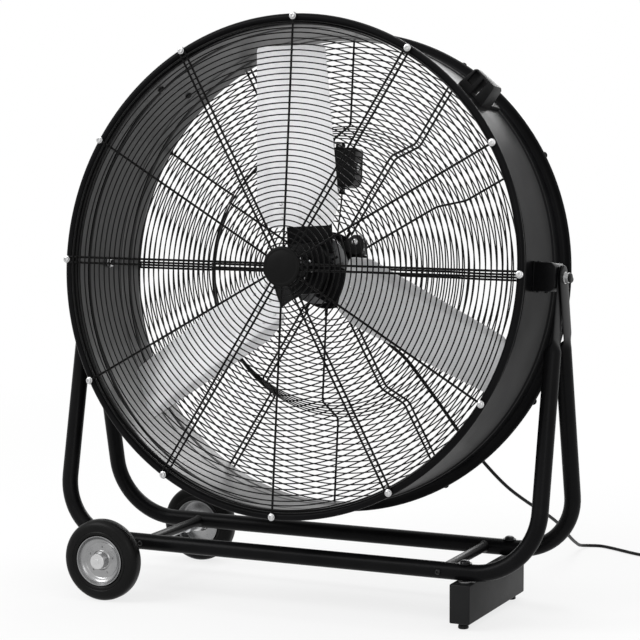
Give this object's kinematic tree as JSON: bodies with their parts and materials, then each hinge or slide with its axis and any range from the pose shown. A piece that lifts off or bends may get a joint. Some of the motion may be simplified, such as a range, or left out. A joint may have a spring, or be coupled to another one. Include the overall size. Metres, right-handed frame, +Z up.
{
  "type": "drum fan",
  "caption": "Round steel drum fan with wire guards and a bladed rotor, carried on side pivots in a wheeled tube floor frame with a foot bar, carry handles and a mains cord.",
  "frame": {"origin": "on the floor under the middle of the pivot axis, at the centre of the base", "axes": "+Z up, +X to the right as seen from the front (the side with the foot bar), +Y to the back; the air blows out of the front, towards -Y"},
  "size_m": [1.1638, 0.8878, 1.1397],
  "materials": {
    "black_paint": "satin black powder coat",
    "drum_paint": "satin black powder coat",
    "black_plastic": "fine-grained black plastic",
    "knob_plastic": "black plastic",
    "blade_aluminium": "brushed, lightly scuffed",
    "zinc_plate": "bright zinc plate",
    "cast_grey": "cast, unpolished",
    "black_rubber": "matt black rubber",
    "tyre_rubber": "solid black tyre"
  },
  "bodies": {
    "base": {"front_frame_tube": "black_paint", "rear_frame_tube": "black_paint", "left_cross_bar": "black_paint", "right_cross_bar": "black_paint", "cross_bar_screw_left_front": "zinc_plate", "cross_bar_screw_left_rear": "zinc_plate", "cross_bar_screw_right_front": "zinc_plate", "cross_bar_screw_right_rear": "zinc_plate", "pivot_bolt_left": "black_plastic", "pivot_bolt_right": "black_plastic", "pivot_nut_left": "zinc_plate", "pivot_nut_right": "zinc_plate", "foot_bar": "black_paint", "foot_pad_front": "black_rubber", "foot_pad_rear": "black_rubber", "foot_spacer_front": "zinc_plate", "foot_spacer_rear": "zinc_plate", "foot_bolt_front": "black_plastic", "foot_bolt_rear": "black_plastic", "wheel_axle": "zinc_plate", "power_cord": "black_rubber", "cord_coil": "black_rubber", "power_plug": "black_plastic"},
    "drum": {"drum_shell": "drum_paint", "front_guard": "black_paint", "rear_guard": "black_paint", "centre_badge": "black_plastic", "guard_bolt_01": "zinc_plate", "guard_bolt_02": "zinc_plate", "guard_bolt_03": "zinc_plate", "guard_bolt_04": "zinc_plate", "guard_bolt_05": "zinc_plate", "guard_bolt_06": "zinc_plate", "guard_bolt_07": "zinc_plate", "guard_bolt_08": "zinc_plate", "guard_bolt_09": "zinc_plate", "guard_bolt_10": "zinc_plate", "guard_bolt_11": "zinc_plate", "guard_bolt_12": "zinc_plate", "handle_left": "black_plastic", "handle_right": "black_plastic", "pivot_bracket_left": "black_paint", "pivot_bracket_right": "black_paint", "motor_body": "black_paint", "motor_end_bell": "cast_grey", "switch_box": "black_plastic", "cable_box": "black_plastic", "cord_gland": "black_rubber"},
    "rotor": {"hub_spider": "black_paint", "fan_shaft": "zinc_plate", "blade_1": "blade_aluminium", "blade_2": "blade_aluminium", "blade_3": "blade_aluminium"},
    "wheel_front": {"tyre_front": "tyre_rubber", "wheel_rim_front": "zinc_plate", "wheel_hub_front": "cast_grey"},
    "wheel_rear": {"tyre_rear": "tyre_rubber", "wheel_rim_rear": "zinc_plate", "wheel_hub_rear": "cast_grey"},
    "knob": {"speed_knob": "knob_plastic"}
  },
  "joints": [
    {"name": "drum_tilt", "type": "hinge", "parent": "base", "child": "drum", "pos_m": [0, 0, 0.646], "axis": [1, 0, 0], "range_deg": [-80, 50], "deforming": ["power_cord"]},
    {"name": "fan_spin", "type": "hinge", "parent": "drum", "child": "rotor", "pos_m": [0, 0, 0.646], "axis": [0, 0.994, -0.1092], "continuous": true},
    {"name": "wheel_front_spin", "type": "hinge", "parent": "base", "child": "wheel_front", "pos_m": [-0.362, -0.202, 0.08], "axis": [0, 1, 0], "continuous": true},
    {"name": "wheel_rear_spin", "type": "hinge", "parent": "base", "child": "wheel_rear", "pos_m": [-0.362, 0.202, 0.08], "axis": [0, 1, 0], "continuous": true},
    {"name": "speed_knob_turn", "type": "hinge", "parent": "drum", "child": "knob", "pos_m": [0.014, 0.13236, 0.83065], "axis": [0, 0.994, -0.1092], "range_deg": [0, 120]}
  ]
}
